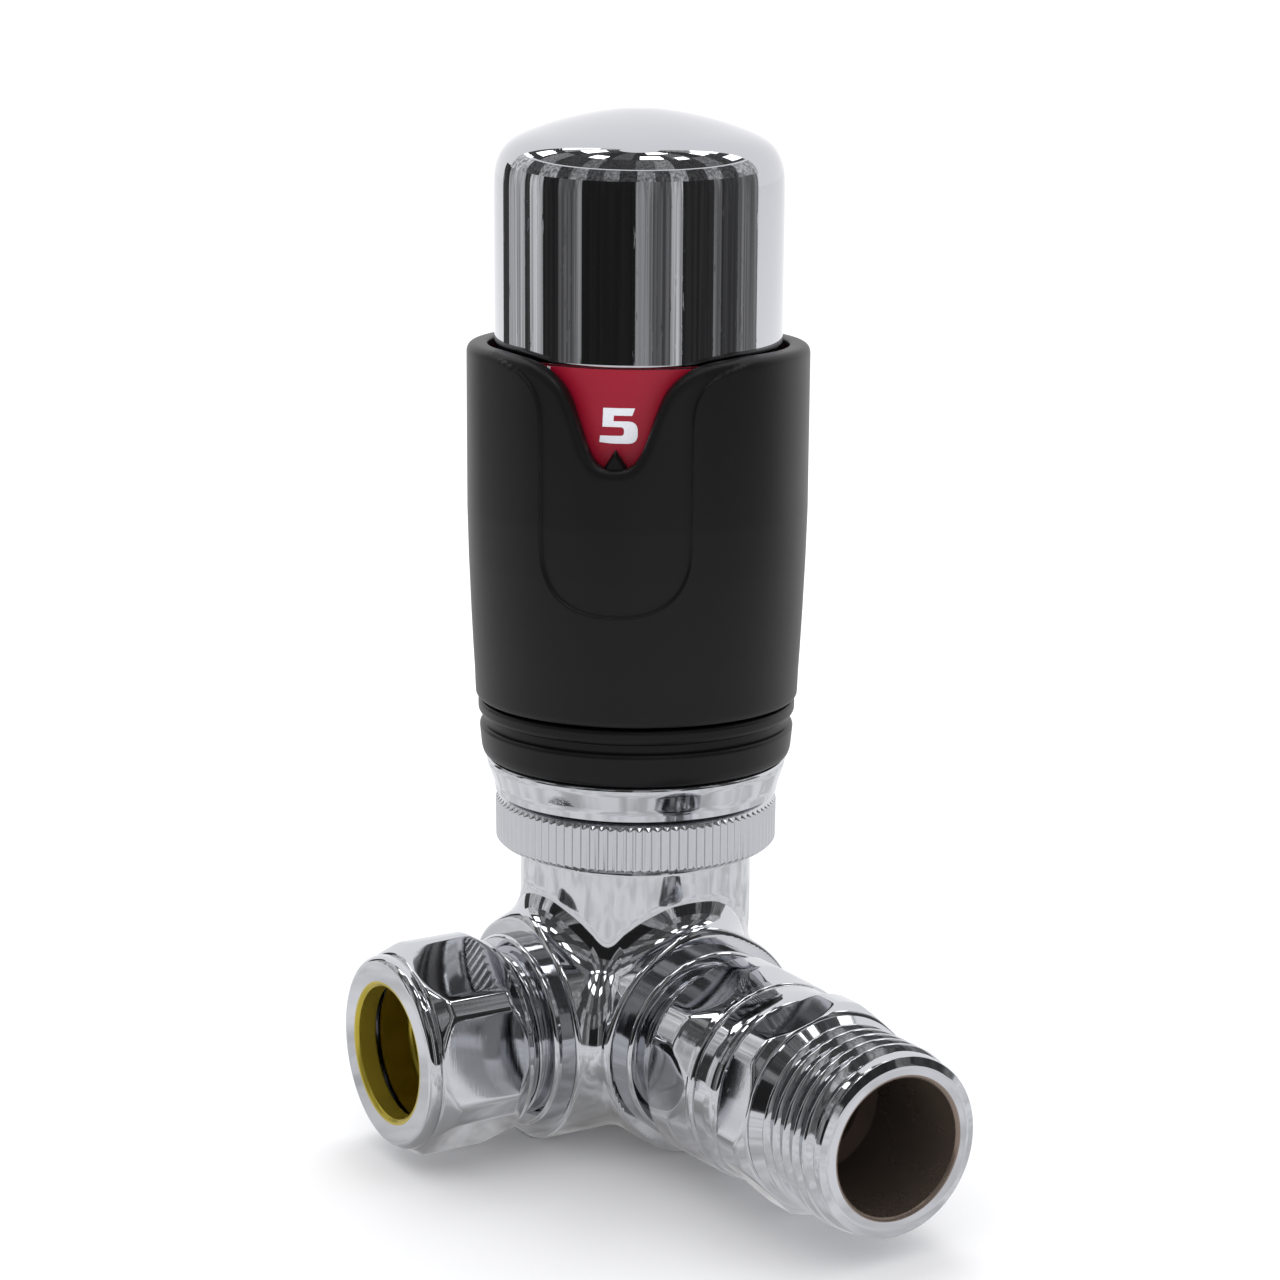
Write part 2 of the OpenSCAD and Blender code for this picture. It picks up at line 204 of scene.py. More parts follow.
def chrome(name, ripple=0.0, ripple_size=120.0, rings=0.0, along="Z", tint=CHROME, rough=0.03,
           inside=None):
    """Chrome plate. ripple is the depth of the polisher's waves in metres, rings that of turning
    marks round an axis; inside is (radius, colour) of the bare metal left in a bore."""
    p = Paint(name)
    smear = p.noise(90, 4, 0.6, warp=0.6)
    fine = p.noise(1400, 2)
    colour = p.mix(smear, tuple(c * 0.97 for c in tint), tuple(min(1, c * 1.03) for c in tint))
    roughness = smear.step(0.45, 0.8) * 0.05 + fine * 0.02 + rough
    scratch = p.noise(1.0, 3, at=p.scaled(2600, 2600, 300)).step(0.62, 0.75)
    normal = p.bump(scratch, 1.2e-6)
    if ripple:
        normal = p.bump(p.noise(ripple_size, 1.5, 0.4, warp=0.3), ripple, normal)
    if rings:
        marks = {"X": (5200, 12, 12), "Y": (12, 5200, 12), "Z": (12, 12, 5200)}[along]
        normal = p.bump(p.noise(1.0, 3, 0.6, at=p.scaled(*marks)), rings, normal)
    if inside:
        radius, bare = inside
        bore = 1 - axis_radius(p, along).step(radius - 5e-5, radius + 5e-5)
        streak = p.noise(130, 3, 0.5, warp=0.5)
        dull = p.mix(streak, tuple(c * 0.82 for c in bare), tuple(min(1, c * 1.2) for c in bare))
        colour = p.mix(bore, colour, dull)
        roughness = roughness + bore * (streak * 0.1 + 0.16)
        return p.finish(Base_Color=colour, Metallic=1 - bore * 0.28, Roughness=roughness, Normal=normal)
    return p.finish(Base_Color=colour, Metallic=1.0, Roughness=roughness, Normal=normal)


def moulded(name, colour, rough=0.42, grain=2.4e-6, gloss=0.5):
    """Moulded plastic with a fine spark-eroded grain, rubbed a little smoother in patches."""
    p = Paint(name)
    rub = p.noise(60, 4, 0.55, warp=0.4)
    speck = p.noise(5200, 2, 0.7)
    shade = p.mix(rub, tuple(c * 0.86 for c in colour), tuple(min(1, c * 1.16) for c in colour))
    flecks = speck.step(0.60, 0.80)
    shade = p.mix(flecks * 0.35, shade, tuple(min(1, c * 1.9 + 0.004) for c in colour))
    roughness = rub * 0.10 + (rough - 0.05) + speck * 0.05
    normal = p.bump(p.noise(3400, 3, 0.6), grain)
    return p.finish(
        Base_Color=shade, Roughness=roughness, Normal=normal, Specular_IOR_Level=gloss
    )


def bare_metal(name, colour, rough=0.22, along="Z", rings=1.6e-6):
    """Turned metal: tool marks round its axis and a patchy stain."""
    p = Paint(name)
    stain = p.noise(260, 4, 0.6, warp=0.8)
    marks = {"X": (6400, 8, 8), "Y": (8, 6400, 8), "Z": (8, 8, 6400)}[along]
    turned = p.noise(1.0, 2, at=p.scaled(*marks))
    shade = p.mix(stain, tuple(c * 0.72 for c in colour), tuple(min(1, c * 1.12) for c in colour))
    return p.finish(
        Base_Color=shade,
        Metallic=1.0,
        Roughness=stain * 0.14 + rough + turned * 0.06,
        Normal=p.bump(turned, rings),
    )


def seal(name, colour):
    """Rubber or fibre: matt, with dust in its pores."""
    p = Paint(name)
    pores = p.noise(2600, 4, 0.7)
    dust = p.noise(340, 3, 0.6).step(0.55, 0.8)
    shade = p.mix(dust * 0.3, colour, tuple(min(1, c * 2.2 + 0.02) for c in colour))
    return p.finish(
        Base_Color=shade, Roughness=pores * 0.12 + 0.62, Normal=p.bump(pores, 5e-6)
    )


def printed(name, colour, rough, coat):
    """Printed band: a fine printing screen in the colour under a thin clear coat."""
    p = Paint(name)
    screen = p.noise(4200, 2, 0.6)
    cloud = p.noise(150, 3, 0.5)
    shade = p.mix(screen, tuple(c * 0.9 for c in colour), tuple(min(1, c * 1.12) for c in colour))
    shade = p.mix(cloud.step(0.4, 0.75) * 0.25, shade, tuple(min(1, c * 1.25 + 0.01) for c in colour))
    return p.finish(
        Base_Color=shade,
        Roughness=screen * 0.06 + rough,
        Normal=p.bump(p.noise(2400, 2), 1.2e-6),
        Specular_IOR_Level=0.3,
        Coat_Weight=coat,
        Coat_Roughness=0.12,
    )


# ------------------------------------------------------------------ mesh helpers
def soften(points, closed=True, rounds=0.12, steps=4):
    """An outline with its corners rounded. A point is (r, z) or (r, z, rounding)."""
    pts = [(p[0], p[1], p[2] if len(p) > 2 else rounds) for p in points]
    n, line = len(pts), []
    for i, (r, z, d) in enumerate(pts):
        here = np.array([r, z])
        if not closed and i in (0, n - 1):
            line.append(here)
            continue
        before = np.array(pts[i - 1][:2]) - here
        after = np.array(pts[(i + 1) % n][:2]) - here
        la, lb = np.linalg.norm(before), np.linalg.norm(after)
        d = min(d, 0.44 * la, 0.44 * lb)
        if d < 1e-6:
            line.append(here)
            continue
        a, b = before / la, after / lb
        line.append(here + a * d * 1.12)
        for k in range(steps + 1):
            t = k / steps
            line.append(here + a * d * (1 - t) ** 2 + b * d * t * t)
        line.append(here + b * d * 1.12)
    return np.array(line)


def divide(line, longest):
    """Adds points so that no stretch of a closed line is longer than longest."""
    out, n = [], len(line)
    for i in range(n):
        a, b = line[i], line[(i + 1) % n]
        k = max(1, int(math.ceil(np.linalg.norm(b - a) / longest)))
        out += [a + (b - a) * j / k for j in range(k)]
    return np.array(out)


def to_row(points, branch):
    """Points whose z runs along a branch ('X' tail, 'Y' socket, 'Z' head), in the row frame."""
    x, y, z = points[..., 0], points[..., 1], points[..., 2]
    if branch == "X":
        points = np.stack([z, x, y], -1)
    elif branch == "Y":
        points = np.stack([x, -z, y], -1)
    return (points + CROSS) * MM


def piece(name, verts, faces, paint, body, slot, nodes=()):
    """Makes a mesh object with outward faces, hangs it on its body and hides the frame nodes it
    replaces; slot is not used.
    """
    verts = np.asarray(verts, float)
    tri_a, tri_b, tri_c = [], [], []
    for f in faces:
        for k in range(1, len(f) - 1):
            tri_a.append(f[0])
            tri_b.append(f[k])
            tri_c.append(f[k + 1])
    mid = verts.mean(0)
    a, b, c = (verts[np.array(t)] - mid for t in (tri_a, tri_b, tri_c))
    if np.einsum("ij,ij->", a, np.cross(b, c)) < 0:
        faces = [f[::-1] for f in faces]
    mesh = bpy.data.meshes.new(name)
    mesh.from_pydata(verts.tolist(), [], [list(map(int, f)) for f in faces])
    mesh.polygons.foreach_set("use_smooth", [True] * len(mesh.polygons))
    mesh.update()
    obj = bpy.data.objects.new(name, mesh)
    bpy.context.scene.collection.objects.link(obj)
    obj.data.materials.append(paint)
    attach(obj, body)
    if nodes:
        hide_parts(*nodes)
    return obj


def skin(points, wrap_rows=True):
    """Vertices and faces of a grid of points (rows, columns, 3) whose columns go right round.
    A first or last row drawn to a single point becomes one vertex."""
    rows, cols = points.shape[:2]
    ids = np.arange(rows * cols).reshape(rows, cols)
    verts = points.reshape(-1, 3)
    faces = []
    tip = [np.ptp(points[i].reshape(-1, 3), 0).max() < 1e-9 for i in (0, rows - 1)]
    pairs = [(i, i + 1) for i in range(rows - 1)]
    if wrap_rows and not any(tip):
        pairs.append((rows - 1, 0))
    for i, j in pairs:
        a, b = ids[i], ids[j]
        a2, b2 = np.roll(a, -1), np.roll(b, -1)
        if i == 0 and tip[0]:
            faces += np.stack([np.full(cols, ids[0, 0]), b2, b], -1).tolist()
        elif j == rows - 1 and tip[1]:
            faces += np.stack([a, a2, np.full(cols, ids[-1, 0])], -1).tolist()
        else:
            faces += np.stack([a, a2, b2, b], -1).tolist()
    used = np.unique(np.concatenate([np.array(f) for f in faces]))
    lookup = np.full(rows * cols, -1)
    lookup[used] = np.arange(len(used))
    return verts[used], [[int(lookup[k]) for k in f] for f in faces]


def lathe(line, branch="Z", columns=256, shape=None, closed=True, angles=None):
    """Turns an (r, z) line round a branch; shape(r, z, angle) may change the radius."""
    t = np.radians(angles) if angles is not None else np.linspace(0, 2 * math.pi, columns, False)
    r = np.repeat(line[:, :1], len(t), 1)
    z = np.repeat(line[:, 1:2], len(t), 1)
    turn = np.repeat(t[None], len(line), 0)
    if shape is not None:
        r = shape(r, z, turn)
    points = np.stack([r * np.cos(turn), r * np.sin(turn), z], -1)
    return skin(to_row(points, branch), closed)


def soft_min(a, b, k):
    h = np.clip(0.5 + 0.5 * (b - a) / k, 0, 1)
    return b * (1 - h) + a * h - k * h * (1 - h)


def smooth(t):
    t = np.clip(t, 0, 1)
    return t * t * (3 - 2 * t)


def flats(across, corner, k, first, last, floor_r):
    """Six flats cut on a turned outline, between two heights, with their edges eased."""

    def shape(r, z, t):
        off = (np.degrees(t) - corner + 30) % 60 - 30  # from a corner
        from_flat = 30 - np.abs(off)
        flat = across / 2 / np.cos(np.radians(from_flat))
        cut = soft_min(r, flat, k)
        on = (z > first) & (z < last) & (r > floor_r)
        return np.where(on, cut, r)

    return shape


def hex_angles(corner, land):
    """Columns close together at the eased edges beside each corner land."""
    half = np.concatenate([
        np.linspace(0, land - 1.6, 5), np.linspace(land - 1.2, land + 2.4, 13),
        np.linspace(land + 3.0, 30, 14)])
    one = np.concatenate([-half[::-1][:-1], half])[:-1]
    return np.sort(np.concatenate([(corner + 60 * k + one) % 360 for k in range(6)]))


def thread(crest, depth, pitch, start, end, fade, flat=0.16):
    """A screw thread's radius as a function of height and angle, fading out at both ends."""

    def shape(z, t):
        u = ((z - start) / pitch - t / (2 * math.pi)) % 1.0
        ridge = 1 - np.abs(u - 0.5) * 2
        ridge = np.clip((ridge - flat) / (1 - 2 * flat), 0, 1)
        ridge = ridge * 0.75 + smooth(ridge) * 0.25
        grow = smooth((z - start) / fade) * smooth((end - z) / fade)
        return crest - depth + depth * ridge * grow

    return shape


def bspline(points, rounds=4):
    """A smooth line near the given points, by repeated cubic cutting; open ends are kept."""
    line = np.array(points, float)
    for _ in range(rounds):
        mid = (line[:-1] + line[1:]) / 2
        near = np.empty_like(line)
        near[0], near[-1] = line[0], line[-1]
        near[1:-1] = (line[:-2] + 6 * line[1:-1] + line[2:]) / 8
        out = np.empty((len(line) + len(mid), line.shape[1]))
        out[0::2], out[1::2] = near, mid
        line = out
    return line


# ------------------------------------------------------------------ paints used below
BRASS_BORE = (0.46, 0.37, 0.045)
DARK_BORE = (0.23, 0.18, 0.148)
paint_forging = chrome("chrome_forging", ripple=5.5e-5, ripple_size=190, rough=0.05)
paint_neck = chrome("chrome_stub", rings=1.5e-6, along="Y", rough=0.06, inside=(8.6 * MM, BRASS_BORE))
paint_pipe_nut = chrome("chrome_pipe_nut", rings=1.3e-6, along="Y", inside=(8.25 * MM, BRASS_BORE))
paint_union_nut = chrome("chrome_union_nut", rings=1.3e-6, along="X")
paint_tail = chrome("plated_tail", rings=1.3e-6, along="X", rough=0.05, inside=(8.05 * MM, DARK_BORE))
paint_head_nut = chrome("chrome_head_nut", rings=1.0e-6, along="Z", rough=0.17)
paint_collar = chrome("chrome_collar", rings=2.0e-6, along="Z", rough=0.05)
paint_cap = chrome("chrome_cap", tint=(0.545, 0.55, 0.575), rough=0.012)
BLACK = (0.0052, 0.0048, 0.0052)
paint_black = moulded("black_moulding", BLACK, rough=0.34, gloss=0.2)
paint_wheel = moulded("black_wheel", BLACK, rough=0.38, gloss=0.26)
paint_band = printed("crimson_print", (0.32, 0.004, 0.022), 0.36, 0.08)
paint_figures = printed("white_print", (0.78, 0.80, 0.84), 0.42, 0.15)


# ------------------------------------------------------------------ valve body
BARREL_R, NECK_R, REACH, NECK_TOP = 13.05, 13.5, 15.5, 20.6
INLET_R, OUTLET_R, INSERT_R = 6.3, 6.4, 10.0  # bores of the socket, the tail side and the neck
BARREL_FILLET, NECK_FILLET = 3.4, 4.2


def joined(d1, n1, d2, n2, k):
    """Union of two fields with a fillet where they cross, and none where they run together."""
    k = k * np.clip(1.05 - (n1 * n2).sum(-1), 0, 1) + 1e-6
    h = np.clip(0.5 + 0.5 * (d2 - d1) / k, 0, 1)
    n = n2 * (1 - h[:, None]) + n1 * h[:, None]
    return d2 * (1 - h) + d1 * h - k * h * (1 - h), n / np.linalg.norm(n, axis=-1)[:, None]


def body_field(p):
    x, y, z = p.T

    def tube(q, r):
        length = np.linalg.norm(q, axis=-1) + 1e-9
        return length - r, q / length[:, None]

    out = tube(np.stack([np.minimum(x, 0), y, z], -1), BARREL_R)
    pipe = tube(np.stack([x, np.maximum(y, 0), z], -1), BARREL_R)
    neck = tube(
        np.stack([x, y, np.minimum(z, 0)], -1), BARREL_R + (NECK_R - BARREL_R) * smooth(z / 13.5)
    )
    d, n = joined(*out, *pipe, BARREL_FILLET)
    d, n = joined(d, n, *neck, NECK_FILLET)
    for cut in (x - REACH, -y - REACH, z - NECK_TOP):
        d = -soft_min(-d, -cut, 0.55)
    bores = (
        np.maximum(np.hypot(x, z) - INLET_R, y + 8.0),
        np.maximum(np.hypot(y, z) - OUTLET_R, 8.0 - x),
        np.maximum(np.hypot(x, y) - INSERT_R, 13.0 - z),
    )
    for bore in bores:
        d = np.maximum(d, -bore)
    return d


def net(field, low, high, h):
    """Quads on the zero surface of a field, their corners moved exactly onto it."""
    axes = [np.arange(low[i], high[i] + h, h) for i in range(3)]
    grid = np.stack(np.meshgrid(*axes, indexing="ij"), -1)
    f = field(grid.reshape(-1, 3)).reshape(grid.shape[:3])
    full = np.array(f.shape) - 1
    total, count = np.zeros((*full, 3)), np.zeros(full)
    for a in range(3):
        o1, o2 = [i for i in range(3) if i != a]
        for s1 in (0, 1):
            for s2 in (0, 1):
                start = [0, 0, 0]
                start[o1], start[o2] = s1, s2
                end = list(start)
                end[a] = 1
                fa = f[tuple(slice(start[i], start[i] + full[i]) for i in range(3))]
                fb = f[tuple(slice(end[i], end[i] + full[i]) for i in range(3))]
                hit = (fa < 0) != (fb < 0)
                t = np.where(hit, fa / np.where(hit, fa - fb, 1), 0)
                offset = np.zeros((*full, 3)) + np.array(start, float)
                offset[..., a] += t
                total += offset * hit[..., None]
                count += hit
    live = count > 0
    index = np.full(full, -1)
    index[live] = np.arange(live.sum())
    cell = np.stack(np.nonzero(live), -1)
    verts = np.array(low) + (cell + total[live] / count[live][:, None]) * h
    faces = []
    for a in range(3):
        o1, o2 = (a + 1) % 3, (a + 2) % 3
        fa = np.moveaxis(f, (a, o1, o2), (0, 1, 2))
        ix = np.moveaxis(index, (a, o1, o2), (0, 1, 2))
        hit = (fa[:-1, 1:-1, 1:-1] < 0) != (fa[1:, 1:-1, 1:-1] < 0)
        out = fa[:-1, 1:-1, 1:-1] < 0
        i, j, k = np.nonzero(hit)
        quad = np.stack([ix[i, j, k], ix[i, j + 1, k], ix[i, j + 1, k + 1], ix[i, j, k + 1]], -1)
        flip = ~out[i, j, k]
        quad[flip] = quad[flip][:, ::-1]
        faces += quad.tolist()

    def slope(p):
        e = 0.01
        return np.stack(
            [(field(p + d) - field(p - d)) / (2 * e) for d in np.eye(3) * e], -1
        )

    for _ in range(4):
        g = slope(verts)
        step = field(verts) / np.maximum((g * g).sum(-1), 0.2)
        verts = verts - g * np.clip(step, -h, h)[:, None]
    g = slope(verts)
    return verts, faces, g / np.maximum(np.linalg.norm(g, axis=-1), 1e-6)[:, None]


verts, faces, normals = net(body_field, (-14.6, -17.0, -14.6), (17.0, 14.6, 21.8), 0.38)
verts[:, 2] = np.maximum(verts[:, 2], -BARREL_R)  # a hair off the fillet, so that it stands
forging = piece(
    "body_forging", (verts + CROSS) * MM, faces, paint_forging, "valve", "chrome_body",
    ["valve_body"],
)
forging.data.normals_split_custom_set_from_vertices(normals.tolist())


def stub(name, collar_r, root, crest, reach, bore, mouth, stop, branch, paint):
    """A threaded stub with its turned collar, its bore and the stop inside it."""
    outline = [
        (stop[0], 14.6), (collar_r, 14.6), (collar_r, reach[0], 0.25), (collar_r - 0.3, reach[0] + 0.3),
        (root, reach[0] + 0.5, 0.05), (root, reach[1] - 0.3, 0.05), (root - 0.3, reach[1], 0.1),
        (mouth, reach[1], 0.1), (bore, reach[1] - 1.1, 0.1), (bore, stop[1], 0.1),
        (stop[0], stop[1], 0.1)]
    line = divide(soften(outline), 0.13)
    run = thread(crest, crest - root, 1.5, reach[0] + 0.7, reach[1] - 0.1, 0.7)

    def shape(r, z, t):
        on = (np.abs(r - root) < 0.02) & (z > reach[0] + 0.45) & (z < reach[1] - 0.25)
        return np.where(on, run(z, t), r)

    return piece(name, *lathe(line, branch, 288, shape), paint, "valve", "chrome_body")


stub("socket_stub", 11.2, 9.1, 10.0, (16.9, 27.0), 7.6, 8.7, (6.25, 18.5), "Y", paint_neck)
stub("union_stub", 11.4, 9.0, 10.0, (17.2, 25.0), 6.4, 6.5, (6.35, 23.4), "X",
     chrome("chrome_union_stub", rings=1.5e-6, along="X", rough=0.06))
neck_line = divide(soften([
    (10.0, 20.2), (13.4, 20.2), (13.4, 20.7, 0.05), (13.85, 21.1, 0.1), (13.85, 27.6, 0.1),
    (13.45, 28.0, 0.1), (10.0, 28.0)]), 0.2)
neck_run = thread(14.85, 1.0, 1.5, 21.2, 27.7, 0.6)
piece(
    "head_thread",
    *lathe(neck_line, "Z", 288, lambda r, z, t: np.where(
        (r > 13.83) & (z > 21.2) & (z < 27.55), neck_run(z, t), r)),
    chrome("chrome_head_thread", rings=1.5e-6, rough=0.08), "valve", "chrome_body",
)


# ------------------------------------------------------------------ nuts and tail
def nut(name, outline, across, corner, land, ease, span, branch, paint, body, slot, node, floor_r):
    line = divide(soften(outline), 0.22)
    shape = flats(across, corner, ease, span[0], span[1], floor_r)
    return piece(name, *lathe(line, branch, 0, shape, angles=hex_angles(corner, land)),
                 paint, body, slot, [node])


nut("pipe_nut", [
    (10.45, 19.6, 0.1), (10.9, 19.6, 0.15), (11.12, 19.95, 0.15), (11.15, 20.5, 0.05),
    (11.4, 20.65, 0.12), (12.35, 22.3, 0.35), (12.35, 29.9, 0.45), (11.35, 31.35, 0.25),
    (11.05, 31.55, 0.08), (11.16, 31.8, 0.12), (11.1, 32.45, 0.3), (10.75, 32.88, 0.2),
    (10.3, 33.0, 0.15), (8.0, 33.0, 0.12), (7.62, 32.7, 0.1), (7.62, 30.6, 0.1), (9.2, 29.4),
    (10.1, 28.4), (10.1, 20.2)],
    22.4, 38, 5.1, 0.26, (20.0, 31.5), "Y", paint_pipe_nut, "pipe_nut", "chrome_nut",
    "compression_nut", 10.6)

nut("union_nut", [
    (10.5, 21.4, 0.1), (11.5, 21.4, 0.15), (12.22, 22.4, 0.35), (12.2, 26.3, 0.5),
    (11.95, 27.4, 0.5), (11.52, 29.4, 0.2), (11.4, 30.2, 0.12), (11.12, 30.45, 0.08),
    (11.2, 30.8, 0.12), (11.05, 32.6, 0.3), (10.85, 33.6, 0.35), (10.5, 34.2, 0.3),
    (10.1, 34.4, 0.1), (9.2, 34.4, 0.15), (8.82, 34.0, 0.1), (8.82, 29.2), (10.1, 29.2),
    (10.1, 21.8)],
    23.0, 28, 10.5, 0.26, (21.0, 29.6), "X", paint_union_nut, "tail_nut", "chrome_nut",
    "union_nut", 10.7)

END = 53.4
tail_line = divide(soften([
    (6.6, 26.2, 0.1), (9.6, 26.2, 0.15), (9.8, 26.5, 0.15), (9.8, 28.6, 0.15), (9.6, 28.9, 0.15),
    (8.5, 28.9, 0.15), (8.5, 35.7, 0.2), (11.6, 35.95, 0.2), (12.0, 36.4, 0.25),
    (12.0, 39.9, 0.4), (11.2, 41.0, 0.2), (10.0, 41.3, 0.01), (10.0, 53.05, 0.01),
    (9.0, END, 0.25), (7.9, END, 0.15), (7.6, END - 0.3, 0.1), (7.6, 39.0, 0.15), (6.62, 37.2, 0.15)]),
    0.1)
tail_run = thread(10.5, 1.16, 1.814, 41.6, 55.0, 0.4, flat=0.10)
tail_flats = flats(22.2, 16, 0.24, 35.6, 41.2, 10.9)


def tail_shape(r, z, t):
    env = np.interp(z, [50.4, 51.0, 51.5, 52.0, 52.5, 53.05, END],
                    [10.55, 10.28, 10.14, 9.97, 9.72, 9.33, 9.0])
    cone = np.interp(z, [41.2, 42.9, 43.3], [10.98, 9.5, 9.0])
    cut = np.maximum(cone, np.minimum(tail_run(z, t), env))
    threaded = (r > 9.99) & (r < 10.01) & (z > 41.25)
    return np.where(threaded, cut, tail_flats(r, z, t))


angles = np.union1d(hex_angles(16, 7.0), np.arange(0, 360, 1.5))
angles = angles[np.concatenate([[True], np.diff(angles) > 0.12])]
piece("threaded_tail", *lathe(tail_line, "X", 0, tail_shape, angles=angles), paint_tail,
      "valve", "nickel_tail", ["radiator_tail"])


# ------------------------------------------------------------------ head nut, collar and base
KNURLS, KNURL_R, KNURL_DEPTH = 96, 16.42, 0.33
nut_line = divide(soften([
    (14.95, 20.9, 0.1), (15.8, 20.9, 0.15), (16.38, 21.45, 0.12), (KNURL_R, 26.02, 0.08),
    (15.70, 26.84, 0.08), (15.64, 26.9, 0.02), (15.64, 31.1, 0.1), (13.15, 31.1, 0.1),
    (13.15, 30.05, 0.1), (14.95, 30.05, 0.1)]), 0.3)


def knurl(r, z, t):
    wave = 0.5 + 0.5 * np.cos(t * KNURLS)
    straight = KNURL_R - KNURL_DEPTH * (1 - wave ** 0.7)
    return np.where((r > 15.7) & (z < 26.9), np.minimum(r, straight), r)


piece("knurled_nut", *lathe(nut_line, "Z", KNURLS * 10, knurl), paint_head_nut,
      "head_nut_ring", "chrome_nut", ["head_nut"])
piece("cone_collar", *lathe(soften([
    (16.0, 27.5, 0.1), (16.22, 27.12, 0.08), (16.45, 27.12, 0.08), (16.62, 28.2, 0.4),
    (17.38, 30.4, 0.4), (17.45, 30.95, 0.15), (17.3, 31.22, 0.1), (16.8, 31.3, 0.05),
    (16.8, 33.4), (16.0, 33.4)]), "Z", 384), paint_collar, "valve", "chrome_collar",
    ["head_collar"])
piece("base_rings", *lathe(soften([
    (10.95, 28.0), (12.8, 28.0), (12.8, 28.7), (12.15, 28.7), (12.15, 29.8), (12.8, 29.8),
    (12.8, 31.7), (15.98, 31.48, 0.1), (15.98, 33.42, 0.1), (16.82, 33.42, 0.1),
    (16.82, 31.43, 0.05), (17.3, 31.4, 0.1), (17.78, 31.7, 0.3), (18.0, 32.4, 0.3),
    (18.24, 34.9, 0.2), (18.05, 35.22, 0.15), (17.6, 35.4, 0.12), (17.6, 36.3, 0.12),
    (18.15, 36.48, 0.15), (18.38, 36.85, 0.2), (18.4, 37.8, 0.2), (18.15, 38.1, 0.15),
    (15.2, 38.1), (15.2, 35.6), (13.6, 35.4), (13.6, 34.0), (10.95, 34.0)]), "Z", 320),
    paint_black, "valve", "black_plastic", ["head_base"])


# ------------------------------------------------------------------ handwheel
WHEEL_R, RIM = 19.55, 79.3
WALL, BORE_R = 2.35, 17.2  # the sleeve's wall and inner radius
PANEL_DEPTH, PANEL_EDGE = 0.36, 0.13
WINDOW = [(0, 67.3), (5, 67.5), (8, 68.4), (10.5, 70.0), (12.8, 72.2), (15.5, 74.4), (18, 76.0),
          (22, 77.2), (26, 78.0), (31, 78.68), (40, 79.05), (52, RIM)]
PANEL = [(0, 50.9), (8, 51.1), (14, 51.7), (19, 52.7), (22.5, 54.0), (25, 55.8), (26, 57.6),
         (26, 62), (26, 68), (26, 73.2), (27.3, 75.0), (30.5, 76.6), (36, 77.8), (44, 78.4),
         (56, 79.9), (60, 82)]


def mirrored(half):
    return [(-a, z) for a, z in half[:0:-1]] + list(half)


def arc(deg, r=WHEEL_R):
    return np.radians(deg) * r


window_line = bspline(mirrored(WINDOW), 3)
panel_line = bspline(mirrored(PANEL), 3)
panel_line[:, 0] = arc(panel_line[:, 0])


def inside_panel(a, z):
    """Distance inside the thumb panel's outline; negative outside it."""
    best = np.full(a.shape, 1e9)
    for (x0, z0), (x1, z1) in zip(panel_line[:-1], panel_line[1:]):
        dx, dz = x1 - x0, z1 - z0
        t = np.clip(((a - x0) * dx + (z - z0) * dz) / (dx * dx + dz * dz), 0, 1)
        best = np.minimum(best, np.hypot(a - x0 - t * dx, z - z0 - t * dz))
    half = panel_line[len(panel_line) // 2:]
    bottom = np.interp(np.abs(a), half[:, 0], half[:, 1])
    wide = panel_line[:, 0].max()
    return np.where((z > bottom) & (np.abs(a) < wide), best, -best)


near = np.arange(-58, 58.01, 0.25)
far = np.arange(59.5, 301, 1.5)
wheel_deg = np.concatenate([near, far])
off = (wheel_deg + 180) % 360 - 180
edge = np.where(np.abs(off) < 52, np.interp(off, window_line[:, 0], window_line[:, 1]), RIM)
edge_a = arc(wheel_deg)
slope = np.gradient(edge, edge_a)
length = np.hypot(slope, 1)
into = np.stack([slope / length, -1 / length])  # into the wall, square to its top edge

rows = []  # each row: arc, height, wall depth below the outer face
foot = [(38.5, 0.12), (38.56, 0.03), (38.75, 0.0), (39.2, 0.0), (40.3, 0.0), (41.5, 0.0),
        (43, 0.0), (44.5, 0.0), (46.5, 0.0), (48.4, 0.0)]
for z, d in foot:
    rows.append((edge_a, np.full_like(edge_a, z), d))
lip = 1.25
for t in np.linspace(0, 1, 196):
    a1, z1 = edge_a + into[0] * lip, edge + into[1] * lip
    rows.append((edge_a + (a1 - edge_a) * t, 50.0 + (z1 - 50.0) * t, 0.0))
for s, d in [(1.0, 0.004), (0.8, 0.03), (0.6, 0.085), (0.44, 0.16), (0.3, 0.26), (0.18, 0.40),
             (0.09, 0.56), (0.03, 0.74), (0.0, 0.95), (0.0, 1.4), (0.0, 1.9), (0.02, 2.12),
             (0.07, 2.24), (0.16, 2.32), (0.3, 2.35), (0.7, 2.35)]:
    rows.append((edge_a + into[0] * s, edge + into[1] * s, d))
outer_z = [38.5, 38.8, 41.5, 44.5, 48.6, 54.8, 60.5, 80]
outer_r = [18.56, 18.68, 18.78, 18.95, 19.15, 19.4, WHEEL_R, WHEEL_R]
shell = []
for a, z, d in rows:
    outer = np.interp(z, outer_z, outer_r)
    cut = PANEL_DEPTH * smooth(
        inside_panel((a + arc(180)) % arc(360) - arc(180), z) / PANEL_EDGE)
    r = outer - cut - d * (1 - cut / WALL) if d < 2.3 else np.full_like(a, BORE_R)
    shell.append((a, z, r))
a_in, z_in = shell[-1][0], shell[-1][1]
for t in np.linspace(0, 1, 14)[1:]:
    shell.append((a_in + (edge_a - a_in) * t, z_in + (41.25 - z_in) * t, np.full_like(a_in, BORE_R)))
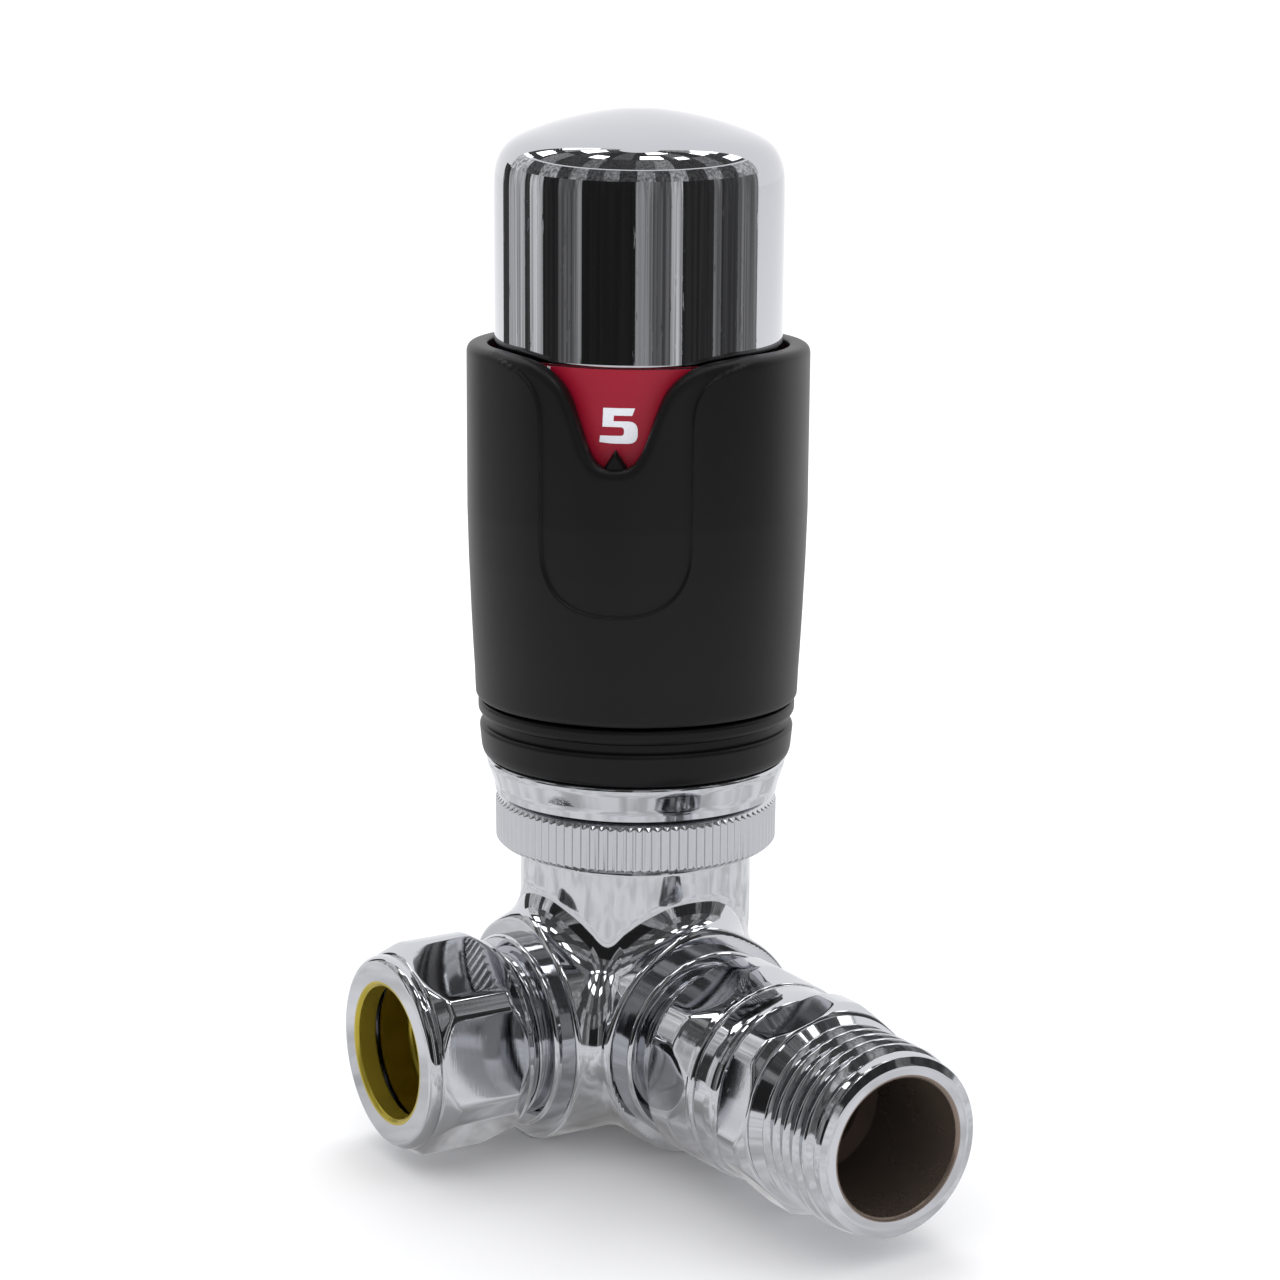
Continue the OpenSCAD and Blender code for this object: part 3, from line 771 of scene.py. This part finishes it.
for r, z in [(17.15, 41.2), (16.7, 41.2), (16.62, 41.1), (16.6, 40.6), (16.6, 38.9), (16.65, 38.6),
             (16.8, 38.5), (18.2, 38.5)]:
    shell.append((edge_a, np.full_like(edge_a, z), np.full_like(edge_a, r)))
points = np.array([
    np.stack([r * np.cos(a / WHEEL_R + math.radians(POINTER)),
              r * np.sin(a / WHEEL_R + math.radians(POINTER)), z], -1) for a, z, r in shell])
handwheel = piece("handwheel_sleeve", *skin(to_row(points, "Z"), True), paint_wheel, "wheel",
                  "black_wheel", ["handwheel"])

# pointer in the foot of the window, its edges bevelled
nib = np.array([(-1.28, 66.7), (1.28, 66.7), (1.28, 67.5), (0.06, 69.42), (-0.06, 69.42), (-1.28, 67.5)])
heart = np.array([0, 67.6])
layers = [(17.25, 1.0), (17.9, 1.0), (18.35, 0.80), (18.45, 0.68)]
nib_points = []
for r, share in layers:
    ring = heart + (nib - heart) * share
    turn = ring[:, 0] / r + math.radians(POINTER)
    nib_points.append(np.stack([r * np.cos(turn), r * np.sin(turn), ring[:, 1]], -1))
verts = np.concatenate(nib_points)
n = len(nib)
faces = [[k * n + i, k * n + (i + 1) % n, (k + 1) * n + (i + 1) % n, (k + 1) * n + i]
         for k in range(len(layers) - 1) for i in range(n)]
faces += [list(range(n))[::-1], [(len(layers) - 1) * n + i for i in range(n)]]
nib_piece = piece("setting_nib", to_row(verts, "Z"), faces, paint_black, "wheel", "black_plastic",
                  ["setting_pointer"])
nib_piece.data.polygons.foreach_set("use_smooth", [False] * len(nib_piece.data.polygons))


# ------------------------------------------------------------------ number band and figures
BAND_R = 16.38
PROUD, ROOTED = 0.022, 0.05  # how far a printed figure stands out of the band, and into it
piece("number_band_skin", *lathe(soften([
    (15.87, 63.6, 0.05), (BAND_R, 63.6, 0.05), (BAND_R, 78.1, 0.05), (15.87, 78.1, 0.05)]),
    "Z", 320), paint_band, "valve", "crimson_band", ["number_band"])


def ribbon(path, width):
    """The outline of a stroke of one width along a path."""
    path = np.array(path, float)
    run = np.gradient(path, axis=0)
    run /= np.linalg.norm(run, axis=1)[:, None]
    side = np.stack([-run[:, 1], run[:, 0]], -1) * width / 2
    return np.concatenate([path + side, (path - side)[::-1]])


def bar(x0, z0, x1, z1):
    return [(x0, z0), (x1, z0), (x1, z1), (x0, z1)]


FIVE = soften([
    (1.82, 3.9, 0.02), (-1.69, 3.9, 0.02), (-1.78, 1.82, 0.02), (0.62, 1.82, 0.42),
    (0.62, 0.86, 0.42), (-2.04, 0.84, 0.02), (-2.12, 0.12, 0.02), (-0.9, 0.0, 0.4),
    (2.12, 0.0, 1.15), (2.12, 2.46, 1.15), (-0.55, 2.46, 0.02), (-0.5, 3.08, 0.02),
    (1.50, 3.08, 0.02)], steps=8)
FOUR = [bar(0.55, 0, 1.5, 3.9),
        [(-2.05, 0.85), (2.05, 0.85), (2.05, 1.55), (-0.85, 1.55), (0.56, 3.05), (0.56, 3.9),
         (0.25, 3.9), (-2.05, 1.5)]]
THREE = [ribbon(bspline([(-1.75, 3.5), (-0.3, 3.52), (1.3, 3.5), (1.55, 2.9), (1.3, 2.2),
                         (0.3, 2.1), (-0.6, 2.1)], 3), 0.78),
         ribbon(bspline([(-0.6, 2.05), (0.5, 2.05), (1.6, 1.9), (1.85, 1.2), (1.5, 0.42),
                         (0.2, 0.38), (-1.9, 0.42)], 3), 0.82)]
TWO = [ribbon(bspline([(-1.8, 3.35), (-0.4, 3.55), (1.2, 3.52), (1.62, 2.8), (1.0, 2.0),
                       (-0.4, 1.3), (-1.4, 0.5)], 3), 0.84), bar(-1.95, 0.0, 1.95, 0.8)]
ONE = [[(-0.25, 0), (0.85, 0), (0.85, 3.9), (0.05, 3.9), (-1.35, 3.15), (-1.35, 2.4), (-0.25, 2.9)]]


def frost():
    """A plain frost star: three bars, each with a small fork at both ends."""
    parts = []
    for k in range(3):
        a = math.radians(60 * k)
        turn = np.array([[math.cos(a), math.sin(a)], [-math.sin(a), math.cos(a)]])
        shapes = [bar(-0.16, -1.9, 0.16, 1.9)]
        for s in (-1, 1):
            shapes += [ribbon([(0.0, s * 0.95), (0.35, s * 1.2), (0.62, s * 1.5)], 0.24),
                       ribbon([(0.0, s * 0.95), (-0.35, s * 1.2), (-0.62, s * 1.5)], 0.24)]
        parts += [np.array(q) @ turn + (0, 1.95) for q in shapes]
    return parts


def inlay(name, outlines, centre, foot_z):
    """Printed figure, wrapped on the band and standing a hair proud of it."""
    bm = bmesh.new()
    for outline in outlines:
        bm.faces.new([bm.verts.new((float(x), 0.0, float(z))) for x, z in outline])
    for k in range(-8, 9):
        bmesh.ops.bisect_plane(bm, geom=bm.verts[:] + bm.edges[:] + bm.faces[:],
                               plane_co=(k * 0.3, 0, 0), plane_no=(1, 0, 0))
    bmesh.ops.triangulate(bm, faces=bm.faces[:])
    made = bmesh.ops.extrude_face_region(bm, geom=bm.faces[:], use_keep_orig=True)
    for v in made["geom"]:
        if isinstance(v, bmesh.types.BMVert):
            v.co.y = 1.0
    for v in bm.verts:
        r = BAND_R + (PROUD if v.co.y > 0.5 else -ROOTED)
        turn = math.radians(centre) + v.co.x / BAND_R
        v.co = ((r * math.cos(turn) + CROSS[0]) * MM, r * math.sin(turn) * MM,
                (foot_z + v.co.z) * MM)
    bmesh.ops.recalc_face_normals(bm, faces=bm.faces[:])
    mesh = bpy.data.meshes.new(name)
    bm.to_mesh(mesh)
    bm.free()
    mesh.materials.append(paint_figures)
    obj = bpy.data.objects.new(name, mesh)
    bpy.context.scene.collection.objects.link(obj)
    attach(obj, "valve")


FIGURES = [("figure_5", [FIVE]), ("figure_4", FOUR), ("figure_3", THREE), ("figure_2", TWO),
           ("figure_1", ONE), ("figure_frost", frost())]
for k, (name, outlines) in enumerate(FIGURES):
    inlay(name, outlines, POINTER + 0.4 - 60 * k, 70.0)
for k in range(5):
    inlay(f"tick_{k + 1}", [bar(-0.22, 0, 0.22, 2.85)], POINTER - 29 - 60 * k, 75.2)


# ------------------------------------------------------------------ chrome cap
dome = bspline([(0, 105.5), (1.2, 105.5), (2.4, 105.44), (4.8, 105.12), (7.2, 104.63),
                (9.4, 104.06), (11.3, 103.42), (13.2, 102.7), (14.5, 101.95), (15.35, 101.1),
                (15.95, 100.0), (16.28, 98.7), (16.38, 97.2), (16.38, 95.5), (16.38, 93.0)], 4)
skirt = soften([(16.38, 92.5), (16.38, 78.45, 0.12), (16.2, 78.2, 0.1), (15.45, 78.2, 0.08),
                (15.32, 78.35, 0.08), (15.32, 90.0)], closed=False)
lining = bspline([(15.32, 91.0), (15.32, 94.0), (15.32, 97.0), (14.9, 99.0), (13.7, 100.5), (11, 101.8),
                  (6, 103.2), (3, 103.8), (1, 104.0), (0, 104.05)], 3)
piece("cap_shell", *lathe(np.concatenate([dome, skirt, lining]), "Z", 512, closed=False),
      paint_cap, "valve", "chrome_cap", ["chrome_cap"])


# ------------------------------------------------------------------ springs
paint_spring = bare_metal("spring_wire", (0.42, 0.42, 0.44), rough=0.28)


def spring(name, radius, wire, low, high, turns, body):
    """A wound spring with closed end coils."""
    t = np.linspace(0, turns, turns * 44 + 1)
    closed_turn = 0.75
    lift = 2.06 * wire
    inner_low, inner_high = low + wire + lift * closed_turn, high - wire - lift * closed_turn
    z = np.interp(t, [0, closed_turn, turns - closed_turn, turns],
                  [low + wire, inner_low, inner_high, high - wire])
    turn = 2 * math.pi * t
    middle = np.stack([radius * np.cos(turn), radius * np.sin(turn), z], -1)
    run = np.gradient(middle, axis=0)
    run /= np.linalg.norm(run, axis=1)[:, None]
    out = np.stack([np.cos(turn), np.sin(turn), np.zeros_like(turn)], -1)
    rise = np.cross(run, out)
    ring = np.linspace(0, 2 * math.pi, 14, False)
    across = np.cos(ring)[None, :, None] * out[:, None] + np.sin(ring)[None, :, None] * rise[:, None]
    tube = middle[:, None] + wire * 0.99 * across
    ends = [np.repeat(middle[k][None, None], len(ring), 1) for k in (0, -1)]
    grid = np.concatenate([ends[0], tube, ends[1]])
    obj = piece(name + "_coil", *skin(to_row(grid, "Z"), False), paint_spring, body,
                "spring_steel", [name])
    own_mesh(obj)


spring("return_spring", 2.75, 0.36, 15.6, 27.3, 6, "valve")
spring("overtravel_spring", 6.2, 0.6, 75.4, 84.8, 4, "carrier")


# ------------------------------------------------------------------ pieces kept from the frame
STEEL, BRASS = (0.56, 0.57, 0.58), (0.74, 0.60, 0.10)
paint_brass = bare_metal("turned_brass", BRASS, along="Y")
paint_brass_z = bare_metal("turned_brass_upright", BRASS, along="Z")
paint_rubber = seal("seal_rubber", (0.016, 0.016, 0.017))
KEPT = {
    "olive": paint_brass,
    "gland_nut": paint_brass_z,
    "disc_holder": paint_brass_z,
    "insert_housing": bare_metal("nickelled_brass", (0.66, 0.60, 0.46)),
    "sensor_capsule": bare_metal("drawn_brass_can", (0.70, 0.50, 0.28), rough=0.3),
    "spindle": bare_metal("ground_stainless", STEEL, rough=0.16),
    "retaining_ring": paint_spring,
    "tail_washer": seal("fibre_washer", (0.055, 0.06, 0.065)),
    "insert_o_ring": paint_rubber,
    "gland_o_ring": paint_rubber,
    "seat_washer": paint_rubber,
    "guide_cage": moulded("natural_dark_moulding", (0.022, 0.022, 0.024)),
    "drive_ring": moulded("drive_ring_moulding", (0.024, 0.024, 0.026)),
    "sensor_carrier": moulded("grey_moulding", (0.36, 0.36, 0.36)),
    "dial_shell": moulded("dial_shell_moulding", (0.34, 0.34, 0.35)),
    "push_rod": moulded("white_acetal", (0.66, 0.66, 0.63), rough=0.36),
}
for name, paint in KEPT.items():
    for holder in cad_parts[name].material_slots:
        holder.material = paint


# ------------------------------------------------------------------ camera
# The camera keeps its place beside the valve; only its aim is turned to centre the valve.
AZIMUTH, DROP, ROLL = math.radians(52.91), math.radians(13.697), math.radians(1.626)
TO_RIGHT, TO_UP, TO_BACK = 36.15, 33.49, 371.9  # from CROSS, in the camera's own directions
AIM = (4.0, -2.0, 45.5)  # the point aimed at, from CROSS
right = Vector((math.cos(AZIMUTH), math.sin(AZIMUTH), 0))
back = Vector((math.sin(AZIMUTH) * math.cos(DROP), -math.cos(AZIMUTH) * math.cos(DROP), math.sin(DROP)))
up = back.cross(right)
leaned_right = right * math.cos(ROLL) + up * math.sin(ROLL)
leaned_up = up * math.cos(ROLL) - right * math.sin(ROLL)
place = Vector(CROSS * MM) + (leaned_right * TO_RIGHT + leaned_up * TO_UP + back * TO_BACK) * MM
target = (Vector(CROSS) + Vector(AIM)) * MM
stand = Matrix((leaned_right, leaned_up, back)).transposed()
aim = (target - place).normalized()
swing = (-back).rotation_difference(aim)
camera = bpy.data.objects.new("camera", bpy.data.cameras.new("camera"))
camera.data.sensor_width = 36.0
camera.data.lens = 88.0
camera.data.clip_start, camera.data.clip_end = 0.02, 50
camera.rotation_mode = "QUATERNION"
camera.rotation_quaternion = swing @ stand.to_quaternion()
camera.location = place
bpy.context.scene.collection.objects.link(camera)
bpy.context.scene.camera = camera


# ------------------------------------------------------------------ floor, light and reflectors
# Reaches are metres from the head's axis, rises degrees seen from ROOM_MIDDLE's height.
FLOOR_REACH, PAINTED_REFLECTION_REACH, PAINTED_REFLECTION_LIFT = 7.0, 0.37, 0.0002
WALL_REACH, UPPER_REACH, CEILING_REACH, TOP_REACH, LAMP_REACH = 0.36, 0.37, 0.62, 0.66, 0.55
ROOM_MIDDLE = 0.04
WALL_TOP, UPPER_TOP, CEILING_TOP, ROOM_TOP = 19, 36, 58, 82


def plain(name, colour, glow=0.0, streaks=0.0, far=None):
    """Matt paper, or a glowing card with soft streaks; far is (reach, colour) of a fade outward from the
    card's colour at the head's axis, which the floor card uses as painted shade.
    """
    p = Paint(name)
    cloud = p.noise(3.0, 2)
    shade = p.mix(cloud, tuple(c * 0.985 for c in colour), colour)
    if streaks:
        band = p.noise(1.0, 3, 0.6, at=p.scaled(70, 70, 5)).step(0.3, 0.7)
        shade = p.mix(band, tuple(c * (1 - streaks) for c in colour),
                      tuple(c * (1 + streaks) for c in colour))
    if far:
        # painted shade: the card's own colour near the head's axis, mottled, fading to far's colour
        # outward
        wide = axis_radius(p, "Z").step(0.012, far[0])
        mottle = p.noise(48, 4, 0.6, warp=0.8).step(0.35, 0.65)
        shade = p.mix((wide * 0.62 + mottle * 0.5).clamp(), shade, far[1])
    if glow:
        return p.finish(Base_Color=(0.0, 0.0, 0.0), Roughness=1.0, Emission_Color=shade,
                        Emission_Strength=glow)
    return p.finish(Base_Color=shade, Roughness=0.9, Specular_IOR_Level=0.2)


def staged(name, verts, faces, paint):
    mesh = bpy.data.meshes.new(name)
    mesh.from_pydata([tuple(v) for v in verts], [], faces)
    mesh.materials.append(paint)
    obj = bpy.data.objects.new(name, mesh)
    bpy.context.scene.collection.objects.link(obj)
    return obj


def disc(name, reach, middle_x, z, paint):
    sides = 96
    rim = [(reach * math.cos(2 * math.pi * k / sides) + middle_x,
            reach * math.sin(2 * math.pi * k / sides), z) for k in range(sides)]
    return staged(name, rim, [list(range(sides))], paint)


disc("floor", FLOOR_REACH, 0.0, FLOOR_Z, plain("pale_floor", (0.955, 0.955, 0.96)))

world = bpy.data.worlds.new("studio")
world.use_nodes = True
world.node_tree.nodes["Background"].inputs[0].default_value = (0.96, 0.96, 0.975, 1)
world.node_tree.nodes["Background"].inputs[1].default_value = 1.12
bpy.context.scene.world = world
bpy.context.scene.view_settings.view_transform = "Standard"


def only_reflected(obj):
    """Room pieces stand out of the way: they are met only by reflections."""
    obj.visible_camera = obj.visible_diffuse = obj.visible_shadow = False
    obj.visible_transmission = obj.visible_volume_scatter = False


def room_patch(name, side0, side1, rise0, rise1, reach, glow, streaks=0.0):
    """Part of the room round the valve: sides are degrees from the front, rises degrees up.
    A rise of None starts at the floor."""
    n = max(2, int(abs(side1 - side0) / 3) + 2)
    m = max(2, int(abs(rise1 - (rise0 or -5)) / 5) + 2)
    low = math.degrees(math.atan2(FLOOR_Z - ROOM_MIDDLE, reach)) if rise0 is None else rise0
    verts, faces = [], []
    for j in range(m):
        e = math.radians(low + (rise1 - low) * j / (m - 1))
        for i in range(n):
            s = math.radians(side0 + (side1 - side0) * i / (n - 1))
            out = Vector((math.sin(AZIMUTH), -math.cos(AZIMUTH), 0)) * math.cos(s) + right * math.sin(s)
            flat = reach * (1 if rise0 is None else math.cos(e))
            high = reach * (math.tan(e) if rise0 is None else math.sin(e))
            verts.append(Vector((CROSS[0] * MM, 0, ROOM_MIDDLE)) + out * flat + Vector((0, 0, high)))
    faces = [[j * n + i, j * n + i + 1, (j + 1) * n + i + 1, (j + 1) * n + i]
             for j in range(m - 1) for i in range(n - 1)]
    only_reflected(staged(name, verts, faces, plain(name + "_card", (1, 1, 1), glow, streaks=streaks)))


WALLS = [(-128, -117, 0.05), (-117, -94, 0.55), (-94, -88, 0.05), (-88, -74, 0.62),
         (-74, -59, 0.02), (-59, -45, 0.13), (-45, -39, 0.30), (-39, 3, 0.008), (3, 16, 0.30),
         (16, 30, 0.13), (30, 39, 0.60), (39, 65, 0.024), (65, 72, 0.20), (72, 88, 0.05),
         (88, 111, 0.22)]
for k, (a, b, glow) in enumerate(WALLS):
    room_patch(f"wall_{k}", a, b, None, WALL_TOP, WALL_REACH, glow, streaks=0.5)
UPPER = [(-119, -95, 0.7), (-95, -80, 0.10), (-80, -62, 0.42), (-62, -50, 0.07), (-50, -36, 0.34),
         (-36, -22, 0.09), (-22, -10, 0.26), (-10, 4, 0.06), (4, 18, 0.32), (18, 30, 0.10),
         (30, 44, 0.40), (44, 60, 0.06), (60, 74, 0.34), (74, 90, 0.09), (90, 113, 0.55)]
for k, (a, b, glow) in enumerate(UPPER):
    room_patch(f"upper_wall_{k}", a, b, WALL_TOP - 1, UPPER_TOP, UPPER_REACH, glow, streaks=0.6)
CEILING = [(-119, -92, 0.06), (-92, -74, 0.30), (-74, -45, 0.07), (-45, -30, 0.22), (-30, 2, 0.06),
           (2, 20, 0.16), (20, 36, 0.34), (36, 66, 0.06), (66, 84, 0.22), (84, 113, 0.07)]
for k, (a, b, glow) in enumerate(CEILING):
    room_patch(f"ceiling_{k}", a, b, UPPER_TOP - 1, CEILING_TOP, CEILING_REACH, glow, streaks=0.6)
wide = 23.2
for k, glow in enumerate([0.5, 0.06, 0.10, 0.04, 0.14, 0.05, 0.07, 0.20, 0.05, 0.4]):
    start = -119 + wide * k
    room_patch(f"ceiling_top_{k}", start, start + wide, CEILING_TOP - 1, ROOM_TOP, TOP_REACH, glow,
               streaks=0.5)
LAMPS = [(-100, -72, 66, 77, 4), (-54, -34, 58, 66, 5), (20, 60, 74, 81, 4), (6, 34, 60, 69, 5),
         (48, 62, 56, 63, 4), (86, 100, 59, 68, 5), (-112, -96, 42, 53, 4),
         (-119, -104, 28, 37, 3), (97, 113, 39, 49, 3), (104, 113, 56, 70, 3), (-119, -108, 58, 74, 3)]
for k, (a, b, low, high, glow) in enumerate(LAMPS):
    room_patch(f"lamp_{k}", a, b, low, high, LAMP_REACH, glow)
# Painted reflection of the floor, met only by reflections: a glowing disc, dark grey round the valve as
# painted shade, pale and mottled farther out.
painted_floor_reflection = plain("painted_floor_reflection_card", (0.24, 0.235, 0.23), 1.0, far=(0.075, (0.97, 0.97, 0.99)))
only_reflected(disc("painted_floor_reflection_disc", PAINTED_REFLECTION_REACH, CROSS[0] * MM, FLOOR_Z + PAINTED_REFLECTION_LIFT, painted_floor_reflection))


def soft_box(name, direction, size, power, distance=0.9):
    light = bpy.data.objects.new(name, bpy.data.lights.new(name, "AREA"))
    light.data.shape, light.data.size, light.data.energy = "DISK", size, power
    way = Vector(direction).normalized()
    light.location = Vector((CROSS[0] * MM, 0, ROOM_MIDDLE)) + way * distance
    light.rotation_mode = "QUATERNION"
    light.rotation_quaternion = way.to_track_quat("Z", "Y")
    light.visible_camera = light.visible_glossy = False
    bpy.context.scene.collection.objects.link(light)


soft_box("top_light", (-0.35, 0.25, 1.0), 0.5, 2.2)
